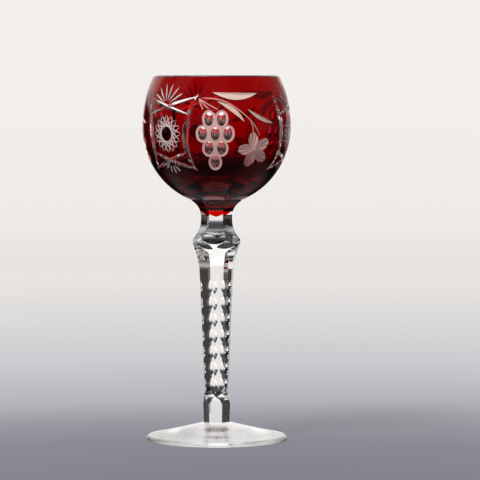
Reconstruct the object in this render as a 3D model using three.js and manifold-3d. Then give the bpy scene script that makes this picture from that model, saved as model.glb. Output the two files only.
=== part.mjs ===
// Cut crystal wine glass: a clear foot, a faceted stem and a clear bowl cased in ruby glass.
// Units are millimetres, +Z is up, and the origin is the centre of the face that the foot rests on.
// Angles round the glass are in degrees, from the front (-Y) towards the right (+X).
import * as THREE from "three";
import { mergeVertices } from "three/addons/utils/BufferGeometryUtils.js";
import Module from "manifold-3d";

// Foot
const FOOT_DIAMETER = 78.5;
const FOOT_EDGE_THICKNESS = 3.2;
const FOOT_HEIGHT = 9.7;
const FOOT_PAD_MARGIN = 1.9;
const FOOT_CONE_HOLLOW = 1.25;
const FOOT_RECESS_DIAMETER = 54;
const FOOT_RECESS_FLAT_DIAMETER = 38;
const FOOT_RECESS_DEPTH = 1.2;

// Stem, from the foot upwards
const STEM_SIDES = 6;
const BASE_ACROSS_FLATS = 13.1;
const BASE_LENGTH = 8.3;
const BASE_RUN_OUT_RADIUS = 17;
const BASE_TO_SHAFT = 13;
const SHAFT_FOOT_ACROSS_FLATS = 13.4;
const SHAFT_TOP_ACROSS_FLATS = 18;
const SHAFT_LENGTH = 64;
const SHAFT_RUN_OUT_RADIUS = 70;
const KNOP_RISE = 17;
const KNOP_PROJECTION = 4.4;
const KNOP_FACET_DEPTH = 0.9;
const KNOP_TO_WAIST = 14;
const NECK_ACROSS_FLATS = 15.2;
const WAIST_TO_COLLAR = 9.2;
const COLLAR_FLARE = 6.4;
const COLLAR_FACET_DEPTH = 1;

// Notches along the edges of the shaft
const NOTCH_COUNT = 7;
const NOTCH_PITCH = 9.2;
const NOTCH_DEPTH = 0.8;
const NOTCH_WHEEL_DIAMETER = 18.6;

// Bowl
const BOWL_DIAMETER = 84;
const BOWL_LOWER_DEPTH = 43.6;
const BOWL_UPPER_HEIGHT = 28.6;
const RIM_DRAW_IN = 6.5;
const RIM_WALL = 2;
const LIP_START = 30;
const BOWL_WALL = 2.8;
const BOWL_BASE_THICKNESS = 14.5;
const CUP_WALL = 1.2;
const TIP_ABOVE_WAIST = 0.4;
const TIP_ROUND = 2.6;

// Ruby casing
const CASING_THICKNESS = 0.6;
const CASING_BELOW_RIM = 0.8;
const FUSED_GAP = 0.06;

// Star panels
const PANEL_COUNT = 3;
const STAR_ANGLE = -42;
const STAR_BELOW_WIDEST = 3.5;
const STAR_POINTS = 16;
const STAR_DIAMETER = 20.4;
const STAR_POINT_DEPTH = 3;
const BUTTON_DIAMETER = 6.2;
const STAR_MARGIN = 1;
const BAR_WIDTH = 1.6;
const CROSSING_MARGIN = 4.6;
const ARM_DROP = 4.4;
const CORNER_RISE = 5;
const CORNER_SPREAD = 5.2;
const LOWER_CORNER_SPREAD = 1.8;
const BAR_OVERRUN = 2.4;

// Vine panels, each 60 degrees on from a star panel
const GRAPE_WIDTH = 6.6;
const GRAPE_HEIGHT = 8.8;
const GRAPE_GAP = 0.6;
const GRAPE_ROWS = [2, 3, 2, 1];
const GRAPES_ANGLE = -1;
const GRAPES_BELOW_WIDEST = 6.9;
const PETAL_COUNT = 5;
const PETAL_LENGTH = 8.6;
const PETAL_WIDTH = 5.2;
const PETAL_START = 1.6;
const FLOWER_TURN = 33;
const FLOWER_ANGLE = 32;
const FLOWER_BELOW_WIDEST = 12;
// Each leaf: place, half length, slope in degrees, and how far its two edges bulge from the chord
const LEAVES = [
  { angle: 16, aboveWidest: 20, halfLength: 13, slope: -1, upper: -0.8, lower: -4.6 },
  { angle: 11.5, aboveWidest: 9.3, halfLength: 9.4, slope: -36, upper: 2.8, lower: 0 },
  { angle: 37.5, aboveWidest: 6.9, halfLength: 9.8, slope: -23, upper: -0.2, lower: -2.7 },
];

// Fineness of round shapes
const AROUND = 36;
const WHEEL_AROUND = 24;
const ARC_STEPS = 8;
const TIP_STEPS = 3;
const OUTLINE_STEPS = 8;

// Heights that follow from the sizes above
const footTop = FOOT_HEIGHT;
const baseTop = footTop + BASE_LENGTH;
const shaftFoot = baseTop + BASE_TO_SHAFT;
const shaftTop = shaftFoot + SHAFT_LENGTH;
const knopHeight = shaftTop + KNOP_RISE;
const waistHeight = knopHeight + KNOP_TO_WAIST;
const tipHeight = waistHeight + TIP_ABOVE_WAIST;
const collarHeight = waistHeight + WAIST_TO_COLLAR;

// Distances from the axis that follow from the sizes above
const baseDistance = BASE_ACROSS_FLATS / 2;
const shaftFootDistance = SHAFT_FOOT_ACROSS_FLATS / 2;
const shaftTopDistance = SHAFT_TOP_ACROSS_FLATS / 2;
const neckDistance = NECK_ACROSS_FLATS / 2;
const knopRadius = shaftTopDistance + KNOP_PROJECTION;
const collarRadius = neckDistance + COLLAR_FLARE;
const bowlRadius = BOWL_DIAMETER / 2;
const rimRadius = bowlRadius - RIM_DRAW_IN;
const sideTurn = 360 / STEM_SIDES;
const edgeOverFlat = 1 / Math.cos(Math.PI / STEM_SIDES);

// Heights of the bowl
const widestHeight = collarHeight + BOWL_LOWER_DEPTH * Math.sqrt(1 - (collarRadius / bowlRadius) ** 2);
const rimHeight = widestHeight + BOWL_UPPER_HEIGHT;

const wasm = await Module();
wasm.setup();

const crystalMaterial = () =>
  new THREE.MeshStandardMaterial({ color: 0xe9eef0, roughness: 0.04, transparent: true, opacity: 0.4 });
const rubyMaterial = () =>
  new THREE.MeshStandardMaterial({ color: 0x96020e, roughness: 0.05, transparent: true, opacity: 0.85 });

// A closed geometry as a solid that can be joined and cut
function solidOf(geometry) {
  const bare = geometry.clone();
  bare.deleteAttribute("normal");
  bare.deleteAttribute("uv");
  const merged = mergeVertices(bare, 1e-4);
  const vertProperties = new Float32Array(merged.attributes.position.array);
  const triVerts = new Uint32Array(merged.index.array);
  return new wasm.Manifold(new wasm.Mesh({ numProp: 3, vertProperties, triVerts }));
}

// A solid as a geometry with flat facets
function geometryOf(solid) {
  const mesh = solid.getMesh();
  const geometry = new THREE.BufferGeometry();
  geometry.setAttribute("position", new THREE.BufferAttribute(new Float32Array(mesh.vertProperties), 3));
  geometry.setIndex(new THREE.BufferAttribute(new Uint32Array(mesh.triVerts), 1));
  geometry.computeVertexNormals();
  return geometry;
}

function joinAll(solids) {
  return solids.reduce((whole, next) => whole.add(next));
}

// A profile of [radius, height] points, turned about the Z axis
function turned(profile) {
  const points = profile.map(([radius, height]) => new THREE.Vector2(radius, height));
  return new THREE.LatheGeometry(points, AROUND).rotateX(Math.PI / 2);
}

// Directions out from the axis and along the rim at an angle round the glass
function outward(angle) {
  const turn = THREE.MathUtils.degToRad(angle);
  return new THREE.Vector3(Math.sin(turn), -Math.cos(turn), 0);
}

function along(angle) {
  const turn = THREE.MathUtils.degToRad(angle);
  return new THREE.Vector3(Math.cos(turn), Math.sin(turn), 0);
}

// Points of an arc of an ellipse between two angles in degrees
function ellipseArc(centreX, centreY, radiusX, radiusY, from, to, steps) {
  const points = [];
  for (let step = 0; step <= steps; step += 1) {
    const turn = THREE.MathUtils.degToRad(from + ((to - from) * step) / steps);
    points.push([centreX + radiusX * Math.cos(turn), centreY + radiusY * Math.sin(turn)]);
  }
  return points;
}

// Outside of the bowl at a height between its collar and its rim
const upperReach = BOWL_UPPER_HEIGHT / Math.sqrt(1 - (rimRadius / bowlRadius) ** 2);

function bowlRadiusAt(height) {
  const reach = height > widestHeight ? upperReach : BOWL_LOWER_DEPTH;
  return bowlRadius * Math.sqrt(1 - ((height - widestHeight) / reach) ** 2);
}

// Direction square to the bowl's outside at a height, as [out, up]
function bowlNormalAt(height) {
  const reach = height > widestHeight ? upperReach : BOWL_LOWER_DEPTH;
  const out = bowlRadiusAt(height) / bowlRadius ** 2;
  const up = (height - widestHeight) / reach ** 2;
  return new THREE.Vector2(out, up).normalize();
}

// Radius of a wheel whose cut rises by flare over a run, starting level
function wheelRadius(run, flare) {
  return (run ** 2 + flare ** 2) / (2 * flare);
}

// The neck's facets: nearest to the axis at the waist, and flaring up to the collar and down to the knop
const neckUpperRadius = wheelRadius(WAIST_TO_COLLAR, collarRadius - COLLAR_FACET_DEPTH - neckDistance);
const neckLowerRadius = wheelRadius(KNOP_TO_WAIST, knopRadius - KNOP_FACET_DEPTH - neckDistance);

// Distance of the neck's facets from the axis, above the waist
function neckFacetAt(height) {
  const rise = height - waistHeight;
  return neckDistance + neckUpperRadius - Math.sqrt(neckUpperRadius ** 2 - rise ** 2);
}

// Foot: recess, flat ground ring, rounded edge, low cone and the pad that carries the stem
function makeFoot() {
  const edgeRound = FOOT_EDGE_THICKNESS / 2;
  const edgeCentre = FOOT_DIAMETER / 2 - edgeRound;
  const padRadius = baseDistance * edgeOverFlat + FOOT_PAD_MARGIN;
  const coneWidth = edgeCentre - padRadius;
  const coneRise = footTop - FOOT_EDGE_THICKNESS;
  const cone = [];
  for (let step = 1; step < ARC_STEPS; step += 1) {
    const share = step / ARC_STEPS;
    cone.push([edgeCentre - coneWidth * share, FOOT_EDGE_THICKNESS + coneRise * share ** FOOT_CONE_HOLLOW]);
  }
  return turned([
    [0, FOOT_RECESS_DEPTH],
    [FOOT_RECESS_FLAT_DIAMETER / 2, FOOT_RECESS_DEPTH],
    [FOOT_RECESS_DIAMETER / 2, 0],
    ...ellipseArc(edgeCentre, edgeRound, edgeRound, edgeRound, -90, 90, ARC_STEPS),
    ...cone,
    [padRadius, footTop],
    [0, footTop],
  ]);
}

// Stem: a turned blank with three sets of wheel-cut facets, notched edges and a cup at the top
const blankReach = Math.max(knopRadius, collarRadius) * 1.2;
const cutReach = blankReach * 1.5;

// A wheel that cuts one flat facet, whose depth follows a curve of [distance from axis, height] points
function facetCutter(curve, angle) {
  const first = curve[0];
  const last = curve[curve.length - 1];
  const shape = new THREE.Shape();
  shape.moveTo(cutReach, first[1]);
  for (const [distance, height] of curve) {
    shape.lineTo(distance, height);
  }
  shape.lineTo(cutReach, last[1]);
  const geometry = new THREE.ExtrudeGeometry(shape, { depth: 2 * cutReach, bevelEnabled: false });
  geometry.translate(0, 0, -cutReach);
  const out = outward(angle);
  const up = new THREE.Vector3(0, 0, 1);
  geometry.applyMatrix4(new THREE.Matrix4().makeBasis(out, up, out.clone().cross(up)));
  return solidOf(geometry);
}

function facetSet(curve, firstAngle) {
  const cutters = [];
  for (let side = 0; side < STEM_SIDES; side += 1) {
    cutters.push(facetCutter(curve, firstAngle + sideTurn * side));
  }
  return cutters;
}

// Rising end of a facet: an arc of the wheel from its lowest point out past the blank, up or down
function runOut(distance, height, radius, direction, startSlope) {
  const points = [];
  const startTurn = Math.atan(startSlope);
  const outside = (blankReach - distance) / radius;
  const endTurn = Math.acos(Math.max(0, Math.cos(startTurn) - outside));
  for (let step = 1; step <= ARC_STEPS; step += 1) {
    const turn = startTurn + ((endTurn - startTurn) * step) / ARC_STEPS;
    points.push([
      distance + radius * (Math.cos(startTurn) - Math.cos(turn)),
      height + direction * radius * (Math.sin(turn) - Math.sin(startTurn)),
    ]);
  }
  return points;
}

const shaftSlope = (shaftTopDistance - shaftFootDistance) / SHAFT_LENGTH;
const shaftFlareRadius = wheelRadius(KNOP_RISE, knopRadius - shaftTopDistance - shaftSlope * KNOP_RISE);

function makeStem(tip) {
  const blank = solidOf(
    turned([
      [0, footTop],
      [knopRadius, footTop],
      [knopRadius, waistHeight],
      [collarRadius, collarHeight],
      [0, collarHeight],
    ]),
  );
  const baseCurve = [
    [baseDistance, 0],
    [baseDistance, baseTop],
    ...runOut(baseDistance, baseTop, BASE_RUN_OUT_RADIUS, 1, 0),
  ];
  const shaftCurve = [
    ...runOut(shaftFootDistance, shaftFoot, SHAFT_RUN_OUT_RADIUS, -1, 0).reverse(),
    [shaftFootDistance, shaftFoot],
    [shaftTopDistance, shaftTop],
    ...runOut(shaftTopDistance, shaftTop, shaftFlareRadius, 1, shaftSlope),
  ];
  const neckCurve = [
    ...runOut(neckDistance, waistHeight, neckLowerRadius, -1, 0).reverse(),
    [neckDistance, waistHeight],
    ...runOut(neckDistance, waistHeight, neckUpperRadius, 1, 0),
  ];
  const facets = [
    ...facetSet(baseCurve, 0),
    ...facetSet(shaftCurve, sideTurn / 2),
    ...facetSet(neckCurve, 0),
  ];
  const cup = solidOf(turned([...tip, [0, collarHeight + CUP_WALL]]));
  return geometryOf(blank.subtract(joinAll([...facets, ...notches(), cup])));
}

// Round notches at even heights along the edges of the shaft, from its foot upwards
function notches() {
  const radius = NOTCH_WHEEL_DIAMETER / 2;
  const cutters = [];
  for (let side = 0; side < STEM_SIDES; side += 1) {
    const angle = sideTurn * side;
    for (let index = 0; index < NOTCH_COUNT; index += 1) {
      const height = shaftFoot + index * NOTCH_PITCH;
      const facet = shaftFootDistance + shaftSlope * (height - shaftFoot);
      const edge = facet * edgeOverFlat;
      const wheel = new THREE.CylinderGeometry(radius, radius, SHAFT_TOP_ACROSS_FLATS, WHEEL_AROUND);
      wheel.rotateZ(Math.PI / 2).rotateZ(THREE.MathUtils.degToRad(angle));
      const place = outward(angle).multiplyScalar(edge + radius - NOTCH_DEPTH);
      wheel.translate(place.x, place.y, height);
      cutters.push(solidOf(wheel));
    }
  }
  return cutters;
}

// Outside of the bowl's tip, from its lowest point up to the shoulder that rests on the stem's collar.
// It is grown by the given amount for the cup, or drawn in for the layers inside.
function tipProfile(grow) {
  const roundHeight = tipHeight + TIP_ROUND;
  const roundRadius = neckFacetAt(roundHeight) - CUP_WALL;
  const points = ellipseArc(0, roundHeight, roundRadius + grow, TIP_ROUND + grow, -90, 0, TIP_STEPS);
  points[0][0] = 0;
  for (let step = 1; step <= TIP_STEPS; step += 1) {
    const height = roundHeight + ((collarHeight - roundHeight) * step) / TIP_STEPS;
    points.push([neckFacetAt(height) - CUP_WALL + grow, height]);
  }
  return points;
}

// Outside of the bowl above the collar, drawn in by the given amount and ending at the given height
function bowlProfile(drawIn, top) {
  const points = [];
  const heights = [];
  const lowerSteps = ARC_STEPS;
  const lowest = Math.acos(collarRadius / bowlRadius);
  for (let step = 0; step <= lowerSteps; step += 1) {
    heights.push(widestHeight - BOWL_LOWER_DEPTH * Math.sin(lowest * (1 - step / lowerSteps)));
  }
  const upperSteps = ARC_STEPS / 2;
  for (let step = 1; step <= upperSteps; step += 1) {
    heights.push(widestHeight + ((top - widestHeight) * step) / upperSteps);
  }
  for (const height of heights) {
    const slope = bowlNormalAt(height);
    points.push([bowlRadiusAt(height) - slope.x * drawIn, height - slope.y * drawIn]);
  }
  return points;
}

// Clear inner bowl: thick base, thin wall and a rounded lip
function makeBowl() {
  const skin = CASING_THICKNESS + FUSED_GAP;
  const outside = [...tipProfile(-skin), ...bowlProfile(skin, rimHeight - CASING_BELOW_RIM)];
  const lipRound = RIM_WALL / 2;
  const lipCentre = [rimRadius - lipRound, rimHeight - lipRound];
  const lip = ellipseArc(...lipCentre, lipRound, lipRound, LIP_START, 180, ARC_STEPS / 2);
  const innerRadius = bowlRadius - BOWL_WALL;
  const lowest = tipHeight + BOWL_BASE_THICKNESS;
  const innerRim = rimRadius - RIM_WALL;
  const innerReach = (BOWL_UPPER_HEIGHT - lipRound) / Math.sqrt(1 - (innerRim / innerRadius) ** 2);
  const inside = [];
  const upperSteps = ARC_STEPS / 2;
  for (let step = upperSteps - 1; step > 0; step -= 1) {
    const rise = ((BOWL_UPPER_HEIGHT - lipRound) * step) / upperSteps;
    inside.push([innerRadius * Math.sqrt(1 - (rise / innerReach) ** 2), widestHeight + rise]);
  }
  inside.push(...ellipseArc(0, widestHeight, innerRadius, widestHeight - lowest, 0, -90, ARC_STEPS));
  inside[inside.length - 1][0] = 0;
  return turned([...outside, ...lip, ...inside]);
}

// Ruby shell before it is cut
function casingBlank() {
  const top = rimHeight - CASING_BELOW_RIM;
  const outside = [...tipProfile(-FUSED_GAP), ...bowlProfile(0, top)];
  const inside = [...tipProfile(-CASING_THICKNESS), ...bowlProfile(CASING_THICKNESS, top)];
  return solidOf(turned([...outside, ...inside.reverse()]));
}

// A cut right through the casing. Its shape is drawn in the plane that touches the bowl at an angle and a
// height, x along the rim and y up.
const cutOutside = bowlRadius / 10;
const cutInside = bowlRadius / 2.5;

function throughCut(shape, angle, height) {
  const radius = bowlRadiusAt(height);
  const slope = bowlNormalAt(height);
  const out = outward(angle).multiplyScalar(slope.x).add(new THREE.Vector3(0, 0, slope.y));
  const right = along(angle);
  const up = out.clone().cross(right);
  const centre = outward(angle).multiplyScalar(radius).add(new THREE.Vector3(0, 0, height));
  const geometry = new THREE.ExtrudeGeometry(shape, { depth: cutOutside + cutInside, bevelEnabled: false });
  geometry.translate(0, 0, -cutInside);
  geometry.applyMatrix4(new THREE.Matrix4().makeBasis(right, up, out).setPosition(centre));
  return solidOf(geometry);
}

function polygon(points) {
  return new THREE.Shape(points.map(([x, y]) => new THREE.Vector2(x, y)));
}

// A cut of even width along a line of points, drawn out to a point at both ends
function tapered(line, width) {
  const left = [];
  const right = [];
  for (let index = 1; index < line.length - 1; index += 1) {
    const [x, y] = line[index];
    const run = [line[index + 1][0] - line[index - 1][0], line[index + 1][1] - line[index - 1][1]];
    const half = width / 2 / Math.hypot(...run);
    left.push([x - run[1] * half, y + run[0] * half]);
    right.push([x + run[1] * half, y - run[0] * half]);
  }
  return polygon([line[0], ...right, line[line.length - 1], ...left.reverse()]);
}

// A point further along the line from one point through another
function beyond(from, through, distance) {
  const length = Math.hypot(through[0] - from[0], through[1] - from[1]);
  const share = distance / length;
  return [through[0] + (through[0] - from[0]) * share, through[1] + (through[1] - from[1]) * share];
}

// Star panel: a star with a round button, a frame of two drawn-in side bars and crossed arms
const starRadius = STAR_DIAMETER / 2;
const barWaist = starRadius + STAR_MARGIN + BAR_WIDTH / 2;
const crossing = starRadius + CROSSING_MARGIN;
const cornerHeight = crossing + CORNER_RISE;
const waistDrop = crossing / 2;

// Distance of a side bar from the panel's middle at a height
function barAt(height) {
  const rise = height + waistDrop;
  const spread = rise > 0 ? CORNER_SPREAD : LOWER_CORNER_SPREAD;
  const reach = rise > 0 ? cornerHeight + waistDrop : cornerHeight - waistDrop;
  return barWaist + spread * (rise / reach) ** 2;
}

function starShape() {
  const points = [];
  for (let index = 0; index < 2 * STAR_POINTS; index += 1) {
    const radius = index % 2 === 0 ? starRadius : starRadius - STAR_POINT_DEPTH;
    const turn = (Math.PI * index) / STAR_POINTS;
    points.push([radius * Math.sin(turn), radius * Math.cos(turn)]);
  }
  const shape = polygon(points);
  const rim = ellipseArc(0, 0, BUTTON_DIAMETER / 2, BUTTON_DIAMETER / 2, 0, 360, STAR_POINTS).slice(1);
  shape.holes.push(new THREE.Path(rim.map(([x, y]) => new THREE.Vector2(x, y))));
  return shape;
}

// Side bars (side is -1 for the left, 1 for the right), from below the lower corner to above the upper one
function sideBar(side) {
  const end = cornerHeight + BAR_OVERRUN;
  const line = [];
  for (let step = 0; step <= OUTLINE_STEPS; step += 1) {
    const height = -end + (2 * end * step) / OUTLINE_STEPS;
    line.push([side * barAt(height), height]);
  }
  return tapered(line, BAR_WIDTH);
}

// Arms from a corner on one side, through the crossing, to the bar on the other side.
// End is 1 for the upper pair and -1 for the lower pair.
function arm(side, end) {
  const middle = [0, end * crossing];
  const corner = [side * barAt(end * cornerHeight), end * cornerHeight];
  const farHeight = end * (crossing - ARM_DROP);
  const far = [-side * barAt(farHeight), farHeight];
  const line = [beyond(middle, corner, BAR_OVERRUN), corner, middle, far, beyond(middle, far, BAR_OVERRUN)];
  return tapered(line, BAR_WIDTH);
}

const starPanelShapes = [
  starShape(),
  sideBar(-1),
  sideBar(1),
  arm(-1, 1),
  arm(1, 1),
  arm(-1, -1),
  arm(1, -1),
];

// Vine panel: a bunch of grapes, three leaves and a flower
const closePacked = Math.sin(Math.PI / 3);

function turnedPoint([x, y], turn) {
  return [x * Math.cos(turn) - y * Math.sin(turn), x * Math.sin(turn) + y * Math.cos(turn)];
}

function grapeShapes() {
  const shapes = [];
  const column = GRAPE_WIDTH + GRAPE_GAP;
  const row = (GRAPE_HEIGHT + GRAPE_GAP) * closePacked;
  GRAPE_ROWS.forEach((count, rowIndex) => {
    const y = ((GRAPE_ROWS.length - 1) / 2 - rowIndex) * row;
    for (let index = 0; index < count; index += 1) {
      const x = (index - (count - 1) / 2) * column;
      const outline = ellipseArc(x, y, GRAPE_WIDTH / 2, GRAPE_HEIGHT / 2, 0, 360, OUTLINE_STEPS);
      shapes.push(polygon(outline.slice(1)));
    }
  });
  return shapes;
}

function leafShape({ halfLength, slope, upper, lower }) {
  const turn = THREE.MathUtils.degToRad(slope);
  const points = [];
  const steps = OUTLINE_STEPS / 2;
  for (let step = 0; step < steps; step += 1) {
    const x = 1 - (2 * step) / steps;
    points.push(turnedPoint([halfLength * x, upper * (1 - x * x)], turn));
  }
  for (let step = 0; step < steps; step += 1) {
    const x = (2 * step) / steps - 1;
    points.push(turnedPoint([halfLength * x, lower * (1 - x * x)], turn));
  }
  return polygon(points);
}

function petalShapes() {
  const shapes = [];
  for (let index = 0; index < PETAL_COUNT; index += 1) {
    const turn = THREE.MathUtils.degToRad(FLOWER_TURN + (360 / PETAL_COUNT) * index);
    const middle = PETAL_START + PETAL_LENGTH / 2;
    const outline = ellipseArc(middle, 0, PETAL_LENGTH / 2, PETAL_WIDTH / 2, 0, 360, OUTLINE_STEPS).slice(1);
    shapes.push(polygon(outline.map((point) => turnedPoint(point, turn))));
  }
  return shapes;
}

// All the cuts of one star panel and the vine panel beside it
function panelCuts(turn) {
  const starHeight = widestHeight - STAR_BELOW_WIDEST;
  const grapesHeight = widestHeight - GRAPES_BELOW_WIDEST;
  const flowerHeight = widestHeight - FLOWER_BELOW_WIDEST;
  return [
    ...starPanelShapes.map((shape) => throughCut(shape, turn + STAR_ANGLE, starHeight)),
    ...grapeShapes().map((shape) => throughCut(shape, turn + GRAPES_ANGLE, grapesHeight)),
    ...petalShapes().map((shape) => throughCut(shape, turn + FLOWER_ANGLE, flowerHeight)),
    ...LEAVES.map((leaf) => throughCut(leafShape(leaf), turn + leaf.angle, widestHeight + leaf.aboveWidest)),
  ];
}

// The patches that the cuts leave: the large field of the casing, and the islands of each star panel
function cutCasing() {
  const cuts = [];
  for (let panel = 0; panel < PANEL_COUNT; panel += 1) {
    cuts.push(...panelCuts((360 / PANEL_COUNT) * panel));
  }
  const patches = casingBlank().subtract(joinAll(cuts)).decompose();
  patches.sort((one, other) => other.volume() - one.volume());
  const [field, ...islands] = patches;
  return [{ name: "ruby_casing", solid: field }, ...islands.map(nameIsland)];
}

// Mean place of a solid's corners
function middleOf(solid) {
  const { vertProperties } = solid.getMesh();
  const sum = new THREE.Vector3();
  for (let index = 0; index < vertProperties.length; index += 3) {
    sum.add(new THREE.Vector3(...vertProperties.slice(index, index + 3)));
  }
  return sum.multiplyScalar(3 / vertProperties.length);
}

function nameIsland(solid) {
  const box = solid.boundingBox();
  const centre = middleOf(solid);
  let panel = 0;
  for (let other = 1; other < PANEL_COUNT; other += 1) {
    const reach = (index) => centre.dot(outward(STAR_ANGLE + (360 / PANEL_COUNT) * index));
    panel = reach(other) > reach(panel) ? other : panel;
  }
  const sideways = centre.dot(along(STAR_ANGLE + (360 / PANEL_COUNT) * panel));
  const rise = centre.z - (widestHeight - STAR_BELOW_WIDEST);
  const height = box.max[2] - box.min[2];
  const inMiddle = Math.abs(sideways) < barWaist / 4;
  const corner = `corner_${rise > 0 ? "upper" : "lower"}_${sideways > 0 ? "right" : "left"}`;
  const middle = height > STAR_DIAMETER ? "star_field" : "star_button";
  return { name: `${inMiddle ? middle : corner}_${panel + 1}`, solid };
}

const glass = new THREE.Group();

function addPiece(name, geometry, material) {
  const mesh = new THREE.Mesh(geometry, material);
  mesh.name = name;
  glass.add(mesh);
}

addPiece("foot", makeFoot(), crystalMaterial());
addPiece("stem", makeStem(tipProfile(FUSED_GAP)), crystalMaterial());
addPiece("crystal_bowl", makeBowl(), crystalMaterial());
for (const { name, solid } of cutCasing()) {
  addPiece(name, geometryOf(solid), rubyMaterial());
}

export default glass;
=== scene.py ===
import math
from dataclasses import dataclass

import bpy
import numpy as np
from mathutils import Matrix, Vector
from mathutils.geometry import convex_hull_2d, delaunay_2d_cdt


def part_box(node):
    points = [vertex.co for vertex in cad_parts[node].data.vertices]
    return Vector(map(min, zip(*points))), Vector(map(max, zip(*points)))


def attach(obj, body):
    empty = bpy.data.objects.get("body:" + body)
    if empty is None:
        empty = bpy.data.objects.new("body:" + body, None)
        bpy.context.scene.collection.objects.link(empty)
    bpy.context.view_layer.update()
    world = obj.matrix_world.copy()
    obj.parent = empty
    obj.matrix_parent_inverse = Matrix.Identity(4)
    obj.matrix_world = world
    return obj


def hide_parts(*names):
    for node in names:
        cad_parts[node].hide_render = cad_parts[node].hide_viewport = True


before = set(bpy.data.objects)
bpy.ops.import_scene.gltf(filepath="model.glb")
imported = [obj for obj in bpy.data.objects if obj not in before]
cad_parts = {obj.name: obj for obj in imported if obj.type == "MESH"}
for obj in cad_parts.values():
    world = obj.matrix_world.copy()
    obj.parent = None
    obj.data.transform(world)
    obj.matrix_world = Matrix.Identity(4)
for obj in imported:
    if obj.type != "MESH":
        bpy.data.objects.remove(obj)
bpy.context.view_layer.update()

MM = 0.001


def box_in_mm(node):
    low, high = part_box(node)
    return low / MM, high / MM


# Main sizes, from the frame
_, foot_high = box_in_mm("foot")
stem_low, stem_high = box_in_mm("stem")
_, bowl_high = box_in_mm("crystal_bowl")
_, casing_high = box_in_mm("ruby_casing")
FOOT_RADIUS = foot_high.x
FOOT_TOP = stem_low.z
COLLAR = stem_high.z
RIM = bowl_high.z
CASING_TOP = casing_high.z
BOWL_RADIUS = casing_high.x

# Foot
FOOT_EDGE = 3.2
FOOT_RECESS_RADIUS = 27.0
FOOT_RECESS_FLAT = 19.0
FOOT_RECESS_DEPTH = 1.2
FOOT_CONE_HOLLOW = 1.1
FOOT_PAD_RADIUS = 9.46
FOOT_COLUMNS = 144
FOOT_RECESS_STEPS = 6
FOOT_EDGE_STEPS = 24
FOOT_CONE_STEPS = 40

# Stem
SIDES = 6
STEM_TURN = -6.0
BASE_DISTANCE = 6.45
BASE_TAPER = 0.2
BASE_TOP = 22.5
BASE_RUN_OUT = 3.5
SHAFT_FOOT = 30.5
SHAFT_FOOT_DISTANCE = 6.35
SHAFT_TOP = 95.0
SHAFT_TOP_DISTANCE = 9.0
SHAFT_RUN_OUT = 38.0
KNOP = 112.0
KNOP_RADIUS = 13.4
KNOP_FACET_DEPTH = 0.9
KNOP_SLANT = 38
NECK_BEND = 124.3
WAIST = 126.0
WAIST_DISTANCE = 7.6
COLLAR_RADIUS = 14.0
COLLAR_FACET_DEPTH = 1.0
NOTCH_COUNT = 7
NOTCH_START = 31.0
NOTCH_PITCH = 9.2
NOTCH_DEPTH = 0.8
NOTCH_WHEEL = 9.3
CUP_WALL = 1.2
STEM_STEP = 0.4
NOTCH_STEPS = 19
NOTCH_MARGIN = 0.1
NOTCH_CLEARANCE = 0.15
TIP_STEPS = 12

# Bowl
LOWER_DEPTH = 43.6
RIM_DRAW_IN = 6.5
RIM_WALL = 2.0
BOWL_WALL = 2.8
BOWL_BASE = 14.5
CAVITY_FULLNESS = 2.2
TIP = 125.7
TIP_ROUND = 5.6
TIP_POINT = 2.2
CASING = 0.12
PANELS = 3
LIP_START = 30
LIP_STEPS = 13
UPPER_STEPS = 25
CAVITY_STEPS = 61

WIDEST = COLLAR + LOWER_DEPTH * math.sqrt(1 - (COLLAR_RADIUS / BOWL_RADIUS) ** 2)
RIM_RADIUS = BOWL_RADIUS - RIM_DRAW_IN
UPPER_REACH = (RIM - WIDEST) / math.sqrt(1 - (RIM_RADIUS / BOWL_RADIUS) ** 2)

# View: the photograph's frame, and where its camera stood
FRAME_PIXELS = 480
FOCAL_PIXELS = 3160
AXIS_PIXEL = 216.5
HORIZON_PIXEL = 75.3
CAMERA_DISTANCE = 1770
CAMERA_HEIGHT = RIM
SENSOR = 36
CAMERA_REACH = 100_000


# An object that stands at a place and looks at a target
def add_aimed(name, data, place, target):
    thing = bpy.data.objects.new(name, data)
    thing.location = Vector(place) * MM
    thing.rotation_euler = (Vector(target) - Vector(place)).to_track_quat("-Z", "Y").to_euler()
    bpy.context.scene.collection.objects.link(thing)
    return thing


# Camera, level with the rim and turned so that the glass stands left of the middle
def add_camera():
    middle = FRAME_PIXELS / 2
    aside = CAMERA_DISTANCE * (middle - AXIS_PIXEL) / FOCAL_PIXELS
    below = CAMERA_DISTANCE * (middle - HORIZON_PIXEL) / FOCAL_PIXELS
    data = bpy.data.cameras.new("camera")
    data.sensor_width = SENSOR
    data.lens = SENSOR * FOCAL_PIXELS / FRAME_PIXELS
    data.clip_end = CAMERA_REACH * MM
    place = (0, -CAMERA_DISTANCE, CAMERA_HEIGHT)
    target = (aside, 0, CAMERA_HEIGHT - below)
    bpy.context.scene.camera = add_aimed("camera", data, place, target)


# Node trees. Adding a node gives its outputs. Each input is a constant or the output of another node.
def add_node(tree, kind, inputs=None, **settings):
    node = tree.nodes.new("ShaderNode" + kind)
    for name, value in settings.items():
        setattr(node, name, value)
    for socket, value in (inputs or {}).items():
        if isinstance(value, bpy.types.NodeSocket):
            tree.links.new(value, node.inputs[socket])
        else:
            node.inputs[socket].default_value = value
    return node.outputs


def add_math(tree, operation, first, second=0.0):
    return add_node(tree, "Math", {0: first, 1: second}, operation=operation)["Value"]


# The range from start to end becomes 0 to 1
def map_range(tree, value, start, end, interpolation="LINEAR"):
    inputs = {"Value": value, "From Min": start, "From Max": end}
    return add_node(tree, "MapRange", inputs, interpolation_type=interpolation)["Result"]


def mix_shaders(tree, share, one, other):
    return add_node(tree, "MixShader", {"Fac": share, 1: one, 2: other})["Shader"]


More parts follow.
